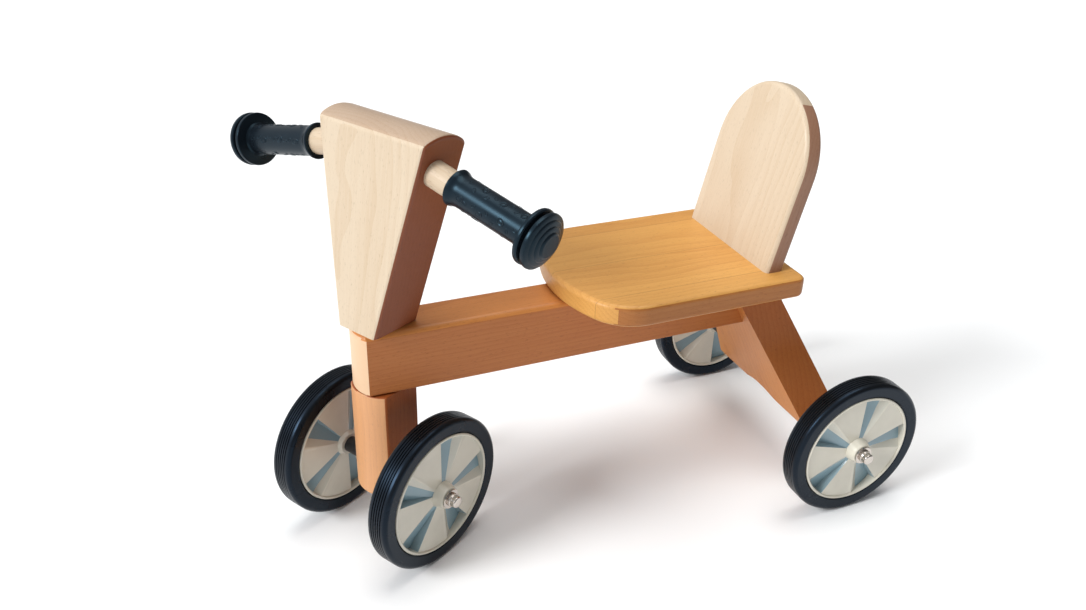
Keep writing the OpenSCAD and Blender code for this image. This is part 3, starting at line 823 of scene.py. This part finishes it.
class RIDEON_OT_tyres(bpy.types.Operator):
    """Rubber tyres with flat side walls, round shoulders and a ribbed tread"""

    bl_idname = "rideon.tyres"
    bl_label = "Tyres"

    def execute(self, context):
        c = colours()
        paint = rubber("tyre_rubber_look", c.tyre, 0.20, (0.35, 0.62, 1.0), 700.0, 0.05)
        deep = sizes().groove_depth / MM
        radius, shoulder, wall = TYRE_RADIUS, 4.2, 10.8
        for name in WHEELS:
            side = [(57.08, 9.3), (58.2, 9.8), (58.6, 10.4), (radius - shoulder, wall)]
            for i in range(1, 8):
                a = radians(90 - 90 * i / 8)
                side.append((radius - shoulder + shoulder * cos(a), wall - shoulder + shoulder * sin(a)))
            tread = []
            for z in (5.0, 2.5, 0.0, -2.5, -5.0):
                floor = radius - deep
                tread += [(radius, z + 0.55), (floor, z + 0.32), (floor, z - 0.32), (radius, z - 0.55)]
            profile = side + tread + [(r, -z) for r, z in reversed(side)]
            profile.append(profile[0])
            bm = bmesh.new()
            lathe(bm, profile, 160)
            place(bm, "tyre_look_" + name, at_wheel(name), paint, ["tyre_" + name], "wheel_" + name,
                  "tyre_rubber", smooth=38)
        return {"FINISHED"}


def pocket(phase):
    """Share of the pocket depth at an angle within one wedge's turn, in degrees."""
    if phase <= WEDGE_END:
        return 0.0
    if phase <= WALL_END:
        return (phase - WEDGE_END) / (WALL_END - WEDGE_END)
    if phase <= FLOOR_END:
        return 1 - 0.45 * (phase - WALL_END) / (FLOOR_END - WALL_END)
    if phase <= 68:
        return 0.55 * (68 - phase) / 8
    return -0.04


def painted_reflection_share(normal, centre):
    """Tone of a wheel disc's face, its share of painted reflection: 1 on the slanted floor of a pocket."""
    r = hypot(centre.x, centre.y)
    phase = (PATTERN_START - degrees(atan2(centre.y, centre.x))) % PATTERN_TURN
    if not 12 < r < 54 or abs(centre.z) > 9.35 or phase < WEDGE_END:
        return 0.0
    return 0.9 if phase < WALL_END else 1.0 if phase < FLOOR_END else 0.12


class RIDEON_OT_discs(bpy.types.Operator):
    """Moulded wheel discs: a thin rim, raised wedges between slanted pockets, and a hub"""

    bl_idname = "rideon.discs"
    bl_label = "Wheel discs"

    def execute(self, context):
        # painted reflection: the pocket faces are mixed towards a darker, cool blue that stands in for reflected light
        paint = plastic("wheel_plastic_look", colours().disc, 0.2, 0.4, painted_reflection=colours().pocket)
        depth = sizes().pocket_depth / MM
        inner, outer, top = 10.0, 55.0, 9.4
        for name in WHEELS:
            bm = bmesh.new()
            for face in (1, -1):
                web = bmesh.new()
                lathe(web, [(inner + (outer - inner) * i / 9, 0) for i in range(10)], 180)
                for v in web.verts:
                    r = hypot(v.co.x, v.co.y)
                    reach = (r - inner) / (outer - inner)
                    phase = round(-degrees(atan2(v.co.y, v.co.x)) + PATTERN_START, 3) % PATTERN_TURN
                    v.co.z = face * (top - depth * pocket(phase) * min(1.0, 1.25 * reach))
                mesh = bpy.data.meshes.new("web")
                web.to_mesh(mesh)
                web.free()
                bm.from_mesh(mesh)
                bpy.data.meshes.remove(mesh)
            lathe(bm, [
                (54.4, -8), (54.6, -10.2), (55.2, -10.9), (56.3, -10.9), (57, -10.2), (57, 10.2), (56.3, 10.9),
                (55.2, 10.9), (54.6, 10.2), (54.4, 8), (54.4, -8),
            ], 128)
            lathe(bm, [
                (6.6, -12.6), (7.0, -13), (10.2, -13), (10.8, -12.4), (12.4, -9), (12.4, 9), (10.2, 17.8), (9.5, 18.5),
                (7.0, 18.5), (6.6, 18.1), (6.6, -12.6),
            ], 64)
            place(bm, "disc_look_" + name, at_wheel(name), paint, ["wheel_disc_" + name], "wheel_" + name,
                  "wheel_plastic", tone=painted_reflection_share, smooth=14)
        return {"FINISHED"}


class RIDEON_OT_axle_ends(bpy.types.Operator):
    """Steel washers and stepped push-on caps at the axle ends"""

    bl_idname = "rideon.axle_ends"
    bl_label = "Axle ends"

    def execute(self, context):
        paint = zinc()
        for end, body in (("front", "steering"), ("rear", "frame")):
            hub = half_track(end) + TYRE_HALF_WIDTH + HUB_OUT + HUB_GAP
            for side_name, side in SIDES.items():
                matrix = axle_end(end + "_" + side_name) @ shift(0, 0, hub)
                bm = bmesh.new()
                lathe(bm, [
                    (4.05, 0.2), (4.2, 0), (8.7, 0), (9, 0.3), (9, 1.2), (8.7, 1.5), (4.2, 1.5), (4.05, 1.3),
                    (4.05, 0.2),
                ], 64)
                replaced = [end + "_washers"] if side > 0 else []
                place(bm, end + "_washer_" + side_name, matrix, paint, replaced, body, "zinc_steel")
                bm = bmesh.new()
                lathe(bm, [
                    (4.1, 1.5), (6.0, 1.5), (6.25, 1.8), (6.25, 3.6), (6.0, 4.0), (5.5, 4.2), (5.3, 4.6), (5.3, 8.2),
                    (5.0, 8.9), (4.4, 9.3), (3.6, 9.5), (0, 9.5),
                ], 64)
                replaced = [end + "_axle_caps"] if side > 0 else []
                place(bm, end + "_cap_" + side_name, matrix, paint, replaced, body, "zinc_steel")
        return {"FINISHED"}


class RIDEON_OT_inner_parts(bpy.types.Operator):
    """Looks of the CAD parts that show only through gaps"""

    bl_idname = "rideon.inner_parts"
    bl_label = "Inner parts"

    def execute(self, context):
        paints = {"zinc_steel": zinc(), "nylon": nylon(), "wood_beech": pale_wood()}
        slots = {s["node"]: s["material_slot"] for s in frame["record"]["subparts"]}
        for node, obj in frame["nodes"].items():
            paint = paints.get(slots[node])
            if paint:
                obj.data.materials.clear()
                obj.data.materials.append(paint)
        return {"FINISHED"}


# ---------- stage ----------

FLOOR_SIZE = 40
ROOM_DIM, ROOM_BRIGHT = 0.08, 0.72
# Name, direction it comes from, strength, spread in degrees, tint
SUNS = (
    ("key", (0.84, 0.09, 0.54), 2.5, 22, (0.97, 0.985, 1.0)),
    ("top", (-0.10, -0.10, 1.0), 1.35, 40, (1.0, 0.985, 0.96)),
)
CAMERA_PLACE = (0.3604, 0.7131, 0.6389)
CAMERA_AZIMUTH, CAMERA_ELEVATION, CAMERA_ROLL = 155.314, 29.120, 2.418
CAMERA_SENSOR, CAMERA_LENS, CAMERA_SHIFT = 36, 33.03, (-0.01359, 0.00179)


def soft_sun(name, direction, strength, spread, tint):
    """A broad, even light that comes from direction."""
    data = bpy.data.lights.new(name, "SUN")
    data.energy = strength
    data.angle = radians(spread)
    data.color = tint
    lamp = bpy.data.objects.new(name, data)
    lamp.rotation_euler = Vector(direction).to_track_quat("Z", "Y").to_euler()
    bpy.context.scene.collection.objects.link(lamp)


def studio_world(name, dim, bright):
    """A room that is brighter in front of the toy and above it than behind the viewer."""
    world = bpy.data.worlds.new(name)
    world.use_nodes = True
    nodes, links = world.node_tree.nodes, world.node_tree.links
    where = nodes.new("ShaderNodeTexCoord")
    facing = nodes.new("ShaderNodeVectorMath")
    facing.operation = "DOT_PRODUCT"
    facing.inputs[1].default_value = Vector((0.80, -0.30, 0.55)).normalized()
    links.new(where.outputs["Generated"], facing.inputs[0])
    fade = nodes.new("ShaderNodeMapRange")
    fade.interpolation_type = "SMOOTHSTEP"
    for key, value in (("From Min", -0.35), ("From Max", 0.8), ("To Min", dim), ("To Max", bright)):
        fade.inputs[key].default_value = value
    links.new(facing.outputs["Value"], fade.inputs["Value"])
    sky = nodes["Background"]
    sky.inputs["Color"].default_value = (0.94, 0.97, 1.0, 1)
    links.new(fade.outputs["Result"], sky.inputs["Strength"])
    return world


class RIDEON_OT_stage(bpy.types.Operator):
    """Pale floor, soft lights and the camera"""

    bl_idname = "rideon.stage"
    bl_label = "Stage"

    def execute(self, context):
        scene = context.scene
        bm = bmesh.new()
        bmesh.ops.create_grid(bm, x_segments=1, y_segments=1, size=FLOOR_SIZE)
        mesh = bpy.data.meshes.new("floor")
        bm.to_mesh(mesh)
        bm.free()
        floor = bpy.data.objects.new("floor", mesh)
        scene.collection.objects.link(floor)
        t = Tree("floor_paint")
        speck = t.noise(t.coords(), 3.0, 3.0)
        c = colours().floor
        t.set(base_color=t.mix(speck, rgba(c), rgba([v * 0.985 for v in c])), roughness=0.9)
        mesh.materials.append(t.material)

        scene.world = studio_world("studio", ROOM_DIM, ROOM_BRIGHT)
        for sun in SUNS:
            soft_sun(*sun)
        scene.view_settings.view_transform = "Standard"

        azimuth, elevation, roll = (radians(a) for a in (CAMERA_AZIMUTH, CAMERA_ELEVATION, CAMERA_ROLL))
        back = Vector((sin(azimuth) * cos(elevation), -cos(azimuth) * cos(elevation), sin(elevation)))
        right = (-back).cross(Z_AXIS).normalized()
        up = right.cross(-back)
        x = right * cos(roll) + up * sin(roll)
        y = up * cos(roll) - right * sin(roll)
        camera = bpy.data.cameras.new("camera")
        camera.sensor_width = CAMERA_SENSOR
        camera.lens = CAMERA_LENS
        camera.shift_x, camera.shift_y = CAMERA_SHIFT
        camera.clip_start = 0.01
        eye = bpy.data.objects.new("camera", camera)
        basis = Matrix((x, y, back)).transposed().to_4x4()
        eye.matrix_world = shift(*CAMERA_PLACE) @ basis
        scene.collection.objects.link(eye)
        scene.camera = eye
        return {"FINISHED"}


class RIDEON_PT_panel(bpy.types.Panel):
    """Lists the pieces"""

    bl_idname = "RIDEON_PT_panel"
    bl_label = "Ride-on"
    bl_space_type = "VIEW_3D"
    bl_region_type = "UI"
    bl_category = "Ride-on"

    def draw(self, context):
        for step in STEPS:
            self.layout.operator(step.bl_idname)
        for group in (context.scene.ride_on_sizes, context.scene.ride_on_colours):
            for key in group.bl_rna.properties.keys():
                if key not in ("rna_type", "name"):
                    self.layout.prop(group, key)


STEPS = (
    RIDEON_OT_beam, RIDEON_OT_axle_block, RIDEON_OT_rear_leg, RIDEON_OT_seat, RIDEON_OT_backrest, RIDEON_OT_head,
    RIDEON_OT_dowels, RIDEON_OT_grips, RIDEON_OT_tyres, RIDEON_OT_discs, RIDEON_OT_axle_ends, RIDEON_OT_inner_parts,
    RIDEON_OT_stage,
)
CLASSES = (RideOnSizes, RideOnColours) + STEPS + (RIDEON_PT_panel,)


def register():
    for item in CLASSES:
        bpy.utils.register_class(item)
    bpy.types.Scene.ride_on_sizes = bpy.props.PointerProperty(type=RideOnSizes)
    bpy.types.Scene.ride_on_colours = bpy.props.PointerProperty(type=RideOnColours)


def unregister():
    del bpy.types.Scene.ride_on_colours
    del bpy.types.Scene.ride_on_sizes
    for item in reversed(CLASSES):
        bpy.utils.unregister_class(item)


def main():
    register()
    for step in STEPS:
        group, name = step.bl_idname.split(".")
        getattr(getattr(bpy.ops, group), name)()


if __name__ == "__main__":
    main()
